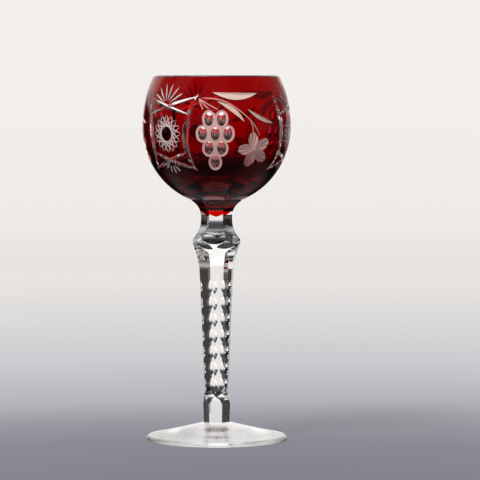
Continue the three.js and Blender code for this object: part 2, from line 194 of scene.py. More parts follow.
def ramp(tree, share, steps):
    colour = add_node(tree, "ValToRGB", {"Fac": share})["Color"]
    elements = colour.node.color_ramp.elements
    while len(elements) < len(steps):
        elements.new(0.5)
    for element, (position, step_colour) in zip(elements, steps):
        element.position = position
        element.color = step_colour
    return colour


def new_material(name, surface, *values):
    material = bpy.data.materials.new(name)
    material.use_nodes = True
    tree = material.node_tree
    tree.nodes.clear()
    add_node(tree, "OutputMaterial", {"Surface": surface(tree, *values)})
    return material


def srgb(red, green, blue):
    def linear(value):
        share = value / 255
        return share / 12.92 if share <= 0.04045 else ((share + 0.055) / 1.055) ** 2.4

    return (linear(red), linear(green), linear(blue), 1)


def shades(table):
    return [(position, srgb(*colour)) for position, colour in table]


# Colours
CRYSTAL = (0.985, 0.99, 0.988, 1)
# The ruby's tint, darkened towards the bottom of the bowl by painted shade and lighter at the rim: heights
# and colours
RUBY_WITH_PAINTED_SHADE_BY_HEIGHT = (
    (138, (0.07, 0.00001, 0.00005, 1)), (154, (0.07, 0.00001, 0.00005, 1)), (166, (0.24, 0.00002, 0.0001, 1)),
    (182, (0.30, 0.00002, 0.0002, 1)), (200, (0.34, 0.00002, 0.0002, 1)),
)
TIP_BY_HEIGHT = (
    (126, (0.75, 0.002, 0.004, 1)), (131, (0.75, 0.002, 0.004, 1)), (133, (0.10, 0.0002, 0.0004, 1)),
    (140, (0.06, 0.0001, 0.0002, 1)),
)
# Ruby of the star buttons, nearly black: painted shade
RUBY_IN_PAINTED_SHADE = (0.006, 0.00002, 0.0001, 1)
# Frosted grapes: whitish ground glass with a pink tint that is painted red light from the ruby behind
FROST_WITH_PAINTED_RED_LIGHT = (0.80, 0.50, 0.45, 1)
# Frosted leaves: a warm pink tint that is painted red light from the ruby behind
LEAF_WITH_PAINTED_RED_LIGHT = (0.87, 0.64, 0.55, 1)
# Frosted petals by height: the pink tint is painted red light from the ruby behind, and the darker lower and
# lighter upper petals are painted light and shade
PETAL_WITH_PAINTED_LIGHT_BY_HEIGHT = ((156, (0.50, 0.21, 0.20, 1)), (167, (1.0, 0.62, 0.55, 1)))
PETAL_LINE = (0.24, 0.14, 0.17, 1)
SATIN = (0.95, 0.92, 0.90, 1)
GLASS_INDEX = 1.54
STROKE_PITCH = 15.0
LINE_START = 0.4
LINE_FULL = 0.95
# Waves of blown glass and grain of ground glass: scale and detail of their noise, and height in millimetres
WAVES = (90, 2)
GRAIN = (2500, 3)
BUMP_HEIGHT = 0.2


# A plain colour as it is, or colours by height in millimetres
def colour_in(tree, colour):
    if not isinstance(colour[0], tuple):
        return colour
    lowest, highest = colour[0][0], colour[-1][0]
    height = add_node(tree, "SeparateXYZ", {"Vector": add_node(tree, "TexCoord")["Object"]})["Z"]
    share = map_range(tree, height, lowest * MM, highest * MM)
    return ramp(tree, share, [((step - lowest) / (highest - lowest), shade) for step, shade in colour])


def bumps(tree, noise, strength):
    place = add_node(tree, "TexCoord")["Object"]
    scale, detail = noise
    height = add_node(tree, "TexNoise", {"Vector": place, "Scale": scale, "Detail": detail})["Fac"]
    inputs = {"Height": height, "Strength": strength, "Distance": BUMP_HEIGHT * MM}
    return add_node(tree, "Bump", inputs)["Normal"]


def lead_glass(tree, colour, roughness, clearness, normal, gloss=1.0):
    inputs = {
        "Base Color": colour,
        "Roughness": roughness,
        "Specular Tint": (gloss, gloss, gloss, 1),
        "IOR": GLASS_INDEX,
        "Transmission Weight": clearness,
        "Normal": normal,
    }
    return add_node(tree, "BsdfPrincipled", inputs)["BSDF"]


def polished_glass(tree, colour, gloss, waviness, roughness=0.0):
    return lead_glass(tree, colour_in(tree, colour), roughness, 1, bumps(tree, WAVES, waviness), gloss)


def ground_glass(tree, colour, roughness, clearness, grain, glow, line=None):
    tint = colour_in(tree, colour)
    lined = with_lines(tree, tint, line) if line else tint
    surface = lead_glass(tree, lined, roughness, clearness, bumps(tree, GRAIN, grain))
    through = add_node(tree, "BsdfTranslucent", {"Color": tint})["BSDF"]
    return mix_shaders(tree, glow, surface, through)


# The wheel's strokes, darker lines over a colour
def with_lines(tree, colour, line):
    across = add_node(tree, "Attribute", attribute_name="stroke")["Fac"]
    wave = add_math(tree, "COSINE", add_math(tree, "MULTIPLY", across, 2 * math.pi / STROKE_PITCH))
    shade = ramp(tree, wave, [(LINE_START, (1, 1, 1, 1)), (LINE_FULL, line)])
    inputs = {"Fac": 1, "Color1": colour, "Color2": shade}
    return add_node(tree, "MixRGB", inputs, blend_type="MULTIPLY")["Color"]


# Glass fused to glass has no surface to see: light goes straight on, tinted where it crosses the ruby
def fused_glass(tree, colour):
    return add_node(tree, "BsdfTransparent", {"Color": colour_in(tree, colour)})["BSDF"]


CLEAR = new_material("clear_crystal", polished_glass, CRYSTAL, 1.0, 0.02)
FOOT_CLEAR = new_material("foot_crystal", polished_glass, CRYSTAL, 1.0, 0.01, 0.1)
GROUND_CLEAR = new_material("ground_crystal", polished_glass, CRYSTAL, 1.0, 0.01, 0.25)
# The ruby carries painted shade, darker low on the bowl
RUBY_GLASS = new_material("ruby_glass", polished_glass, RUBY_WITH_PAINTED_SHADE_BY_HEIGHT, 0.1, 0.03)
RUBY_IN_PAINTED_SHADE_GLASS = new_material("ruby_in_painted_shade_glass", polished_glass, RUBY_IN_PAINTED_SHADE, 0.1, 0.03)
# Grapes' pink tint is painted red light
FROSTED = new_material("frosted_grapes", ground_glass, FROST_WITH_PAINTED_RED_LIGHT, 0.55, 0.3, 0.4, 0.25)
# Leaves' pink tint is painted red light
LEAFY = new_material("frosted_leaf", ground_glass, LEAF_WITH_PAINTED_RED_LIGHT, 0.5, 0.2, 0.4, 0.2)
# Petals carry painted light and shade by height
PETALLED = new_material("frosted_petal", ground_glass, PETAL_WITH_PAINTED_LIGHT_BY_HEIGHT, 0.5, 0.08, 0.4, 0.2, PETAL_LINE)
SMOOTHED = new_material("satin_cut", ground_glass, SATIN, 0.15, 0.6, 0.1, 0.3)
FUSED = new_material("fused_crystal", fused_glass, (1, 1, 1, 1))
FUSED_RUBY = new_material("fused_ruby", fused_glass, TIP_BY_HEIGHT)


# Meshes: points in millimetres, faces as lists of corners, a material for each face, and a direction for
# each point of the faces that are to look perfectly round
SHARP_ANGLE = math.radians(16)
SAME_PLACE = 1e-5


def round_the_axis(angles, radii, height):
    turns = np.radians(angles)
    across = radii * np.sin(turns)
    return np.column_stack([across, -radii * np.cos(turns), np.full_like(across, height)])


class Body:
    """Points and faces of one piece."""

    def __init__(self):
        self.points = np.zeros((0, 3))
        self.ways = np.zeros((0, 3))
        self.faces = []
        self.kinds = []
        self.round = []

    def row(self, points, ways=None):
        first = len(self.points)
        self.points = np.concatenate([self.points, points])
        self.ways = np.concatenate([self.ways, np.zeros_like(points) if ways is None else ways])
        return np.arange(first, len(self.points))

    # Material and roundness are given for each face, or once for all of them
    def patch(self, faces, kinds, is_round=False):
        self.faces.extend(faces.tolist())
        self.kinds.extend(np.broadcast_to(kinds, len(faces)).tolist())
        self.round.extend(np.broadcast_to(is_round, len(faces)).tolist())

    # Faces between two closed rows that run anticlockwise seen from above, the second above the first
    def band(self, lower, upper, kind):
        self.patch(np.stack([lower, np.roll(lower, -1), np.roll(upper, -1), upper], axis=1), kind)

    # Rings round the axis, each joined to the row before it. Gives the last ring.
    def lathe(self, angles, profile, kind, last, upwards=True):
        for radius, height in profile:
            row = self.row(round_the_axis(angles, radius, height))
            if upwards:
                self.band(last, row, kind)
            else:
                self.band(row, last, kind)
            last = row
        return last

    def cap(self, row, height, kind, upwards):
        middle = self.row(np.array([(0.0, 0.0, height)]))
        after = np.roll(row, -1)
        edge = [row, after] if upwards else [after, row]
        self.patch(np.stack([*edge, np.repeat(middle, len(row))], axis=1), kind)

    # The mesh without faces that have shrunk to a line. Welding makes one point of points in one place.
    def make(self, name, materials, welded=True):
        places = np.round(self.points / SAME_PLACE).astype(np.int64)
        _, first, place = np.unique(places, axis=0, return_index=True, return_inverse=True)
        place = place.ravel()
        points = first[place] if welded else np.arange(len(place))
        place = place.tolist()
        kept = []
        faces = []
        for index, face in enumerate(self.faces):
            before = [face[-1], *face[:-1]]
            outline = [corner for corner, last in zip(face, before) if place[corner] != place[last]]
            if len(outline) > 2:
                kept.append(index)
                faces.append(points[outline])
        self.used, corners = np.unique(np.concatenate(faces), return_inverse=True)
        counts = [len(face) for face in faces]
        faces = [face.tolist() for face in np.split(corners, np.cumsum(counts)[:-1])]
        mesh = bpy.data.meshes.new(name)
        mesh.from_pydata((self.points[self.used] * MM).tolist(), [], faces)
        for material in materials:
            mesh.materials.append(material)
        mesh.polygons.foreach_set("material_index", np.array(self.kinds, np.int32)[kept])
        mesh.polygons.foreach_set("use_smooth", np.ones(len(faces), bool))
        mesh.set_sharp_from_angle(angle=SHARP_ANGLE)
        mesh.update()
        is_round = np.repeat(np.array(self.round)[kept], counts)
        if is_round.any():
            normals = np.zeros((len(corners), 3), np.float32)
            mesh.corner_normals.foreach_get("vector", normals.ravel())
            normals[is_round] = self.ways[self.used][corners[is_round]]
            mesh.normals_split_custom_set(normals.tolist())
        piece = bpy.data.objects.new(name, mesh)
        bpy.context.scene.collection.objects.link(piece)
        return piece


# How far out a six-sided section reaches, from the distance of its even facets
def facet_reach(angles, distance):
    half = 180 / SIDES
    away = (angles - STEM_TURN + half) % (2 * half) - half
    return distance / np.cos(np.radians(away))


FOOT_OUTSIDE, FOOT_PAD, FOOT_UNDERSIDE = range(3)


# Foot: a low hollow-sided cone on a round-edged disc, with a recess and a flat ground ring underneath
def make_foot():
    angles = np.arange(FOOT_COLUMNS) * 360 / FOOT_COLUMNS
    edge_round = FOOT_EDGE / 2
    edge_centre = FOOT_RADIUS - edge_round
    profile = []
    for share in np.linspace(0, 1, FOOT_RECESS_STEPS + 1):
        radius = FOOT_RECESS_FLAT + (FOOT_RECESS_RADIUS - FOOT_RECESS_FLAT) * share
        profile.append((radius, FOOT_RECESS_DEPTH * (1 - share)))
    for turn in np.radians(np.linspace(-90, 90, FOOT_EDGE_STEPS + 1)):
        profile.append((edge_centre + edge_round * math.cos(turn), edge_round + edge_round * math.sin(turn)))
    for share in np.linspace(0, 1, FOOT_CONE_STEPS + 1)[1:]:
        radius = edge_centre - (edge_centre - FOOT_PAD_RADIUS) * share
        profile.append((radius, FOOT_EDGE + (FOOT_TOP - FOOT_EDGE) * share**FOOT_CONE_HOLLOW))
    profile.append((facet_reach(angles, BASE_DISTANCE - BASE_TAPER), FOOT_TOP))
    body = Body()
    first = body.row(round_the_axis(angles, *profile[0]))
    last = body.lathe(angles, profile[1:], FOOT_OUTSIDE, first)
    body.cap(last, FOOT_TOP, FOOT_PAD, True)
    body.cap(first, FOOT_RECESS_DEPTH, FOOT_UNDERSIDE, False)
    return body.make("foot_crystal", [FOOT_CLEAR, FUSED, GROUND_CLEAR])


# Stem: at each height its section is set by two sets of facets and the round of the blank. The even set faces
# the stem's turn and every 60 degrees on from there. The odd set lies halfway between.
def wheel_radius(run, flare):
    return (run**2 + flare**2) / (2 * flare)


# How far a wheel's round cut has risen at an offset from its lowest place
def dip(radius, offset):
    return radius - math.sqrt(radius**2 - offset**2) if abs(offset) < radius else math.inf


SHAFT_SLOPE = (SHAFT_TOP_DISTANCE - SHAFT_FOOT_DISTANCE) / (SHAFT_TOP - SHAFT_FOOT)
SHAFT_FLARE = wheel_radius(
    KNOP - SHAFT_TOP, KNOP_RADIUS - SHAFT_TOP_DISTANCE - SHAFT_SLOPE * (KNOP - SHAFT_TOP)
)
NECK_UPPER = wheel_radius(COLLAR - WAIST, COLLAR_RADIUS - COLLAR_FACET_DEPTH - WAIST_DISTANCE)
KNOP_LEAN = math.radians(KNOP_SLANT)
KNOP_RISE = (NECK_BEND - KNOP) * math.tan(KNOP_LEAN) - (KNOP_RADIUS - KNOP_FACET_DEPTH - WAIST_DISTANCE)
NECK_LOWER = KNOP_RISE / (math.sin(KNOP_LEAN) * math.tan(KNOP_LEAN) - 1 + math.cos(KNOP_LEAN))
EDGE_OVER_FLAT = 1 / math.cos(math.pi / SIDES)
NOTCH_HALF = math.sqrt(NOTCH_WHEEL**2 - (NOTCH_WHEEL - NOTCH_DEPTH) ** 2)
NOTCHES = [NOTCH_START + NOTCH_PITCH * index for index in range(NOTCH_COUNT)]


def neck_distance(height):
    if height > WAIST:
        return WAIST_DISTANCE + dip(NECK_UPPER, height - WAIST)
    fall = max(NECK_BEND - height, 0)
    bend = NECK_LOWER * math.sin(KNOP_LEAN)
    return WAIST_DISTANCE + dip(NECK_LOWER, min(fall, bend)) + max(fall - bend, 0) * math.tan(KNOP_LEAN)


def even_distance(height):
    lift = min((height - FOOT_TOP) / (BASE_TOP - FOOT_TOP), 1)
    base = BASE_DISTANCE + BASE_TAPER * (2 * lift - 1) + dip(BASE_RUN_OUT, max(height - BASE_TOP, 0))
    distances = [base, neck_distance(height)]
    for middle in NOTCHES:
        edge = (SHAFT_FOOT_DISTANCE + SHAFT_SLOPE * (middle - SHAFT_FOOT)) * EDGE_OVER_FLAT
        distances.append(edge - NOTCH_DEPTH + dip(NOTCH_WHEEL, height - middle))
    return min(distances)


def odd_distance(height):
    if height < SHAFT_FOOT:
        return SHAFT_FOOT_DISTANCE + dip(SHAFT_RUN_OUT, height - SHAFT_FOOT)
    if height <= SHAFT_TOP:
        return SHAFT_FOOT_DISTANCE + SHAFT_SLOPE * (height - SHAFT_FOOT)
    start = math.atan(SHAFT_SLOPE)
    lift = min((height - SHAFT_TOP) / SHAFT_FLARE + math.sin(start), 1)
    return SHAFT_TOP_DISTANCE + SHAFT_FLARE * (math.cos(start) - math.sqrt(1 - lift**2))


def blank_radius(height):
    share = min(max((height - WAIST) / (COLLAR - WAIST), 0), 1)
    return KNOP_RADIUS + (COLLAR_RADIUS - KNOP_RADIUS) * share


ROUND_STEPS = 3
STEM_OUTSIDE, STEM_FUSED = range(2)


# Angles and radii of one section of the stem
def stem_section(height):
    blank = blank_radius(height)
    even = min(even_distance(height), blank)
    odd = min(odd_distance(height), blank)
    half = math.pi / SIDES
    corner = math.atan2(odd - even * math.cos(half), even * math.sin(half))
    corner = min(max(corner, 0), half)
    even_end = min(corner, math.acos(even / blank))
    odd_start = max(corner, half - math.acos(odd / blank))
    wedge = [0, *np.linspace(even_end, odd_start, ROUND_STEPS + 2), half]
    angles = []
    for side in range(SIDES):
        turn = 2 * half * side
        angles.extend(turn + angle for angle in wedge)
        angles.extend(turn + 2 * half - angle for angle in wedge[-2:0:-1])
    angles = np.array(angles)
    within = (angles + half) % (2 * half) - half
    reach = np.minimum(even / np.cos(within), odd / np.cos(half - np.abs(within)))
    return np.degrees(angles) + STEM_TURN, np.minimum(reach, blank)


def stem_heights():
    heights = [*np.arange(FOOT_TOP, COLLAR, STEM_STEP), COLLAR, BASE_TOP, SHAFT_FOOT, SHAFT_TOP, KNOP, WAIST]
    turns = np.linspace(-math.pi / 2, math.pi / 2, NOTCH_STEPS)
    for middle in NOTCHES:
        heights = [height for height in heights if abs(height - middle) > NOTCH_HALF + NOTCH_CLEARANCE]
        heights += list(middle + (NOTCH_HALF + NOTCH_MARGIN) * np.sin(turns))
    return sorted(heights)


# Outside of the bowl's tip inside the stem, grown by an amount, from the collar down to its lowest point
def tip_profile(grow):
    round_height = TIP + TIP_ROUND
    profile = []
    for height in np.linspace(COLLAR, round_height, TIP_STEPS):
        profile.append((neck_distance(height) - CUP_WALL + grow, height))
    round_radius = profile[-1][0]
    for turn in np.radians(np.linspace(0, 90, TIP_STEPS))[1:-1]:
        height = round_height - (TIP_ROUND + grow) * math.sin(turn)
        profile.append((round_radius * math.cos(turn) ** TIP_POINT, height))
    return profile, TIP - grow


def make_stem():
    body = Body()
    rows = []
    for height in stem_heights():
        angles, radii = stem_section(height)
        rows.append(body.row(round_the_axis(angles, radii, height)))
    for lower, upper in zip(rows, rows[1:]):
        body.band(lower, upper, STEM_OUTSIDE)
    body.cap(rows[0], FOOT_TOP, STEM_FUSED, False)
    profile, lowest = tip_profile(0)
    last = body.lathe(angles, profile, STEM_FUSED, rows[-1])
    body.cap(last, lowest, STEM_FUSED, True)
    return body.make("stem_crystal", [CLEAR, FUSED])


# Outside of the bowl
def bowl_radius(height):
    reach = np.where(height > WIDEST, UPPER_REACH, LOWER_DEPTH)
    return BOWL_RADIUS * np.sqrt(np.clip(1 - ((height - WIDEST) / reach) ** 2, 0, None))


def bowl_normal(height):
    reach = np.where(height > WIDEST, UPPER_REACH, LOWER_DEPTH)
    out = bowl_radius(height) / BOWL_RADIUS**2
    up = (height - WIDEST) / reach**2
    length = np.hypot(out, up)
    return out / length, up / length


# The skin of the bowl is drawn flat, across by angle and up by the length of its profile. Low down, its edges
# lean over so that they run between two facets of the neck.
PROFILE_STEPS = 4000
PROFILE_HEIGHTS = np.linspace(COLLAR, CASING_TOP, PROFILE_STEPS + 1)
PROFILE_RADII = bowl_radius(PROFILE_HEIGHTS)
PROFILE_LENGTHS = np.concatenate(
    [[0], np.cumsum(np.hypot(np.diff(PROFILE_HEIGHTS), np.diff(PROFILE_RADII)))]
)
SKIN_HEIGHT = PROFILE_LENGTHS[-1]
SECTOR = 360 / PANELS
# Heights, and the angle at which a sector starts there, chosen to pass between the cuts
EDGE_HEIGHTS = (COLLAR, 140.0, 152.0, 160.0, 181.0, 189.0, CASING_TOP)
EDGE_ANGLES = (STEM_TURN - 90, STEM_TURN - 90, -72.0, -69.5, -67.0, -75.0, -75.0)
ACROSS = math.radians(1) * BOWL_RADIUS


def lean(height):
    return np.interp(height, EDGE_HEIGHTS, EDGE_ANGLES)


def to_flat(angle, height):
    return (angle - lean(height)) * ACROSS, np.interp(height, PROFILE_HEIGHTS, PROFILE_LENGTHS)


def from_flat(across, up):
    height = np.interp(up, PROFILE_LENGTHS, PROFILE_HEIGHTS)
    return across / ACROSS + lean(height), height


def on_bowl(angle, height, depth):
    out, up = bowl_normal(height)
    turn = np.radians(angle)
    reach = bowl_radius(height) - depth * out
    return np.stack([reach * np.sin(turn), -reach * np.cos(turn), height - depth * up], axis=-1)


def outward(angle, height):
    out, up = bowl_normal(height)
    turn = np.radians(angle)
    return np.stack([out * np.sin(turn), -out * np.cos(turn), up], axis=-1)


# Share of its distance from the axis beyond which a panel sees the bowl, how far in front of and behind the
# panel the bowl is looked for, and how often that range is halved
PANEL_SEES = 0.3
PANEL_FRONT = -4.0
PANEL_BACK = 30.0
PANEL_HALVINGS = 50


class Panel:
    """A flat drawing plane that touches the bowl at an angle and a height, x along the rim and y up."""

    def __init__(self, angle, height):
        self.centre = on_bowl(angle, height, 0.0)
        self.out = outward(angle, height)
        turn = math.radians(angle)
        right = np.array([math.cos(turn), math.sin(turn), 0])
        self.axes = np.array([right, np.cross(self.out, right)])

    # Drawn places of points on the bowl, and whether they are on the side that faces the panel
    def drawn(self, points):
        reach = points[:, :2] @ self.centre[:2]
        facing = reach > PANEL_SEES * self.centre[:2] @ self.centre[:2]
        return (points - self.centre) @ self.axes.T, facing

    # Angle and height on the bowl of drawn places
    def placed(self, places):
        flat = self.centre + places @ self.axes
        near = np.full(len(flat), PANEL_FRONT)
        far = np.full(len(flat), PANEL_BACK)
        for _ in range(PANEL_HALVINGS):
            middle = (near + far) / 2
            points = flat - middle[:, None] * self.out
            outside = np.hypot(points[:, 0], points[:, 1]) > bowl_radius(points[:, 2])
            near = np.where(outside, middle, near)
            far = np.where(outside, far, middle)
        points = flat - near[:, None] * self.out
        return np.degrees(np.arctan2(points[:, 0], -points[:, 1])), points[:, 2]


def smooth_line(points, count):
    """Even points along a smooth curve through the given ones."""
    points = np.asarray(points, float)
    steps = np.concatenate([[0], np.cumsum(np.hypot(*np.diff(points, axis=0).T))])
    fine = np.linspace(0, steps[-1], count)
    slopes = np.gradient(points, steps, axis=0)
    index = np.clip(np.searchsorted(steps, fine, side="right") - 1, 0, len(steps) - 2)
    span = (steps[index + 1] - steps[index])[:, None]
    share = (fine - steps[index])[:, None] / span
    square = share * share
    cube = square * share
    return (
        (2 * cube - 3 * square + 1) * points[index]
        + (cube - 2 * square + share) * span * slopes[index]
        + (3 * square - 2 * cube) * points[index + 1]
        + (cube - square) * span * slopes[index + 1]
    )


def closed_outline(line, offsets):
    """A loop round a line at the given offsets, drawn in to a point where they come to nothing."""
    run = np.gradient(line, axis=0)
    run /= np.hypot(*run.T)[:, None]
    across = run[:, ::-1] * (-1, 1) * offsets[:, None]
    wide = np.flatnonzero(offsets > 0)
    ends = []
    for inside, outside in ((wide[0], wide[0] - 1), (wide[-1], wide[-1] + 1)):
        share = offsets[inside] / (offsets[inside] - offsets[outside])
        ends.append(line[inside] + (line[outside] - line[inside]) * share)
    left = (line + across)[wide]
    right = (line - across)[wide]
    return np.concatenate([ends[:1], left, ends[1:], right[::-1], ends[:1]])


POLISHED, MATT, SATIN_CUT, LEAF_CUT, PETAL_CUT, JOINED = range(6)
BOWL_FINISHES = [CLEAR, FROSTED, SMOOTHED, LEAFY, PETALLED, FUSED]
GROOVE_STEEP = 0.85
GROOVE_REACH = 3.0
OVAL_RINGS = (1.0, 0.72, 0.4)
OVAL_STEPS = 40
LEAF_STEPS = 31
TINY = 1e-9


class Groove:
    """A cut with a V section along a line. It runs out to a point at both ends, more bluntly the fuller it
    is, and is widest at a share of its length."""

    def __init__(
        self, panel, points, half_width, finish=POLISHED, *, count, steep=GROOVE_STEEP, fullness=2.0,
        widest=0.5,
    ):
        self.panel = panel
        self.finish = finish
        self.steep = steep
        self.line = smooth_line(points, count)
        share = np.linspace(0, 1, count) ** (math.log(0.5) / math.log(widest))
        self.half = half_width * (1 - np.abs(2 * share - 1) ** fullness)

    def lines(self):
        outer = closed_outline(self.line, self.half)
        return [self.line, outer, closed_outline(self.line, self.half - CASING / self.steep)]

    def depth(self, places):
        low = self.line.min(0) - GROOVE_REACH
        high = self.line.max(0) + GROOVE_REACH
        near = ((places > low) & (places < high)).all(1)
        deepest = np.zeros(len(places))
        if near.any():
            start = self.line[:-1]
            run = self.line[1:] - start
            away = places[near][:, None, :] - start
            share = np.clip((away * run).sum(2) / (run**2).sum(1), 0, 1)
            gap = np.hypot(*np.moveaxis(away - share[..., None] * run, 2, 0))
            half = self.half[:-1] + (self.half[1:] - self.half[:-1]) * share
            deepest[near] = np.clip((half - gap).max(1), 0, None) * self.steep
        return deepest


def turned_points(points, turn):
    cos, sin = math.cos(turn), math.sin(turn)
    return points @ np.array([[cos, sin], [-sin, cos]])


@dataclass
class Oval:
    """An oval cut from a depth down to its full depth: a dish, or a flat floor where it is less hollow."""

    panel: Panel
    centre: tuple
    half: tuple
    full: float
    finish: int
    turn: float = 0.0
    start: float = 0.0
    hollow: float = 1.0

    # Angle from the oval's long axis, seen from the panel's centre
    def stroke(self, places):
        along, across = turned_points(places, -self.turn).T
        return np.degrees(np.arctan2(across, np.maximum(along, 1.0)))

    def lines(self):
        shares = [*OVAL_RINGS]
        if self.start < CASING < self.start + self.full:
            shares.append(math.sqrt(1 - ((CASING - self.start) / self.full) ** (1 / self.hollow)))
        angles = np.linspace(0, 2 * math.pi, OVAL_STEPS + 1)
        edge = np.column_stack([np.cos(angles), np.sin(angles)]) * self.half
        return [turned_points(edge * share, self.turn) + self.centre for share in shares]

    def depth(self, places):
        away = turned_points(places - self.centre, -self.turn) / self.half
        inside = 1 - (away**2).sum(1)
        return np.where(inside > 0, self.start + self.full * np.clip(inside, TINY, None) ** self.hollow, 0)


@dataclass
class Leaf:
    """A leaf between two arcs over one chord, deepest along a ridge at a share of the way across."""

    panel: Panel
    half_length: float
    turn: float
    upper: float
    lower: float
    full: float
    ridge: float
    finish = LEAF_CUT

    def curve(self, along, share):
        edge = (self.lower + (self.upper - self.lower) * share) * (1 - along**2)
        return turned_points(np.column_stack([along * self.half_length, edge]), self.turn)

    def lines(self):
        along = np.linspace(-1, 1, LEAF_STEPS)
        outline = np.concatenate([self.curve(along, 0), self.curve(along, 1)[::-1]])
        cut = CASING / self.full
        inner = along * math.sqrt(1 - cut)
        level = np.clip(cut / (1 - inner**2), 0, 1)
        lower = self.curve(inner, level * self.ridge)
        upper = self.curve(inner, 1 - level * (1 - self.ridge))
        return [self.curve(along, self.ridge), outline, np.concatenate([lower, upper[::-1], lower[:1]])]

    def depth(self, places):
        along, across = turned_points(places, -self.turn).T / [[self.half_length], [1]]
        bulge = np.clip(1 - along**2, TINY, None)
        share = (across / bulge - self.lower) / (self.upper - self.lower)
        level = np.minimum(share / self.ridge, (1 - share) / (1 - self.ridge))
        return np.where((np.abs(along) < 1) & (level > 0), self.full * bulge * level, 0)


# Star panel
STAR_ANGLE = -42
STAR_BELOW_WIDEST = 3.5
STAR_RADIUS = 10.2
STAR_RISE = 1.1
STAR_POINTS = 16
STAR_SKIP = 6
STAR_CUT = 0.46
BAR_WAIST = 12.0
BAR_CUT = 2.0
BAR_STEEP = 0.88
BAR_POINTS = 9
ARM_CUT = 1.2
CROSSING = 14.8
CORNER_HEIGHT = 19.8
CORNER_SPREAD = 5.2
LOWER_CORNER_SPREAD = 1.8
ARM_DROP = 4.4
BAR_OVERRUN = 2.4
WAIST_DROP = CROSSING / 2
# Each fan: where its rays come from, their turns, how far away they start and end, and half their width
FANS = (
    ((-0.8, CROSSING + 1.0), (-60, -38, -12, 11, 36, 58), 0.6, 12.4, 0.62),
    ((0.2, -CROSSING - 0.6), (231, 203, 175, 145), 1.4, 7.4, 0.6),
)


def bar_at(height):
    rise = height + WAIST_DROP
    spread = CORNER_SPREAD if rise > 0 else LOWER_CORNER_SPREAD
    reach = CORNER_HEIGHT + WAIST_DROP if rise > 0 else CORNER_HEIGHT - WAIST_DROP
    return BAR_WAIST + spread * (rise / reach) ** 2


def beyond(start, through, distance):
    run = np.subtract(through, start)
    return np.asarray(through) + run / np.hypot(*run) * distance


def star_panel():
    panel = Panel(STAR_ANGLE, WIDEST - STAR_BELOW_WIDEST)
    cuts = []
    turns = np.arange(STAR_POINTS) * 2 * math.pi / STAR_POINTS
    tips = STAR_RADIUS * np.column_stack([np.sin(turns), STAR_RISE * np.cos(turns)])
    for ends in zip(tips, np.roll(tips, -STAR_SKIP, axis=0)):
        cuts.append(Groove(panel, ends, STAR_CUT, SATIN_CUT, count=17, fullness=6.0))
    for side in (-1, 1):
        end = CORNER_HEIGHT + BAR_OVERRUN
        bar = [(side * bar_at(height), height) for height in np.linspace(-end, end, BAR_POINTS)]
        cuts.append(Groove(panel, bar, BAR_CUT, count=41, steep=BAR_STEEP, fullness=2.4))
        for top in (-1, 1):
            middle = (0, top * CROSSING)
            corner = (side * bar_at(top * CORNER_HEIGHT), top * CORNER_HEIGHT)
            far_height = top * (CROSSING - ARM_DROP)
            far = (-side * bar_at(far_height), far_height)
            arm = [beyond(middle, corner, BAR_OVERRUN), middle, beyond(middle, far, BAR_OVERRUN)]
            cuts.append(Groove(panel, arm, ARM_CUT, count=37, fullness=2.6))
    for base, turns, start, end, half_width in FANS:
        for turn in np.radians(turns):
            way = np.array([math.sin(turn), math.cos(turn)])
            ends = [base + way * start, base + way * end]
            cuts.append(Groove(panel, ends, half_width, SATIN_CUT, count=13, widest=0.6))
    return cuts


# Vine panel
GRAPE_ROWS = (2, 3, 2, 1)
GRAPE_COLUMN = 7.0
GRAPE_ROW = 8.0
GRAPE_HALF = (3.75, 4.85)
GRAPE_LENS = (2.45, 3.7)
GRAPES_ANGLE = -1
GRAPES_BELOW_WIDEST = 7.4
MATT_DEPTH = 0.5
LENS_DEPTH = 2.0
FLOWER_ANGLE = 32
FLOWER_BELOW_WIDEST = 12.5
FLOWER_TURN = 33
PETALS = 5
PETAL_LENGTH = 10.8
PETAL_WIDTH = 6.6
PETAL_START = -0.4
PETAL_DEPTH = 1.1
VINE_CUT = 0.44
STALK_CUT = 0.4
# Each leaf: angle, height above the widest place, half length, slope, bulge of both edges, depth and ridge
LEAVES = (
    (16, 20.0, 13.6, -1, -0.8, -5.4, 1.0, 0.8),
    (11.2, 8.6, 10.2, -37, 3.0, 0.0, 0.8, 0.75),
    (37.2, 6.5, 10.4, -24, -0.2, -2.9, 0.75, 0.7),
)
VINE_PANEL = (14, 186.0)
# The vine and its stalks as angles and heights on the bowl
MAIN_VINE = (
    (-14.2, 192.5), (-5.0, 192.3), (4.3, 191.2), (13.4, 188.0), (20.7, 184.2), (27.3, 180.0), (32.4, 175.4),
    (36.8, 170.0),
)
SIDE_VINE = ((26.6, 180.5), (28.6, 176.8), (29.4, 172.4))
STALKS = (
    ((-14.4, 192.3), (-12.6, 189.3), (-10.3, 185.8)),
    ((-14.4, 192.3), (-10.2, 189.3), (-5.7, 186.2)),
    ((-14.4, 192.3), (-6.8, 189.2), (1.5, 186.0)),
)


class Cluster:
    """The matt ground that lies between the grapes."""

    finish = MATT

    def __init__(self, panel, centres):
        self.panel = panel
        self.corners = np.array(centres)[convex_hull_2d(centres)]

    def lines(self):
        return [np.concatenate([self.corners, self.corners[:1]])]

    def depth(self, places):
        x, y = places.T
        inside = np.ones(len(places), bool)
        for start, end in zip(self.corners, np.roll(self.corners, -1, axis=0)):
            run = end - start
            inside &= run[0] * (y - start[1]) - run[1] * (x - start[0]) >= 0
        return np.where(inside, MATT_DEPTH, 0)


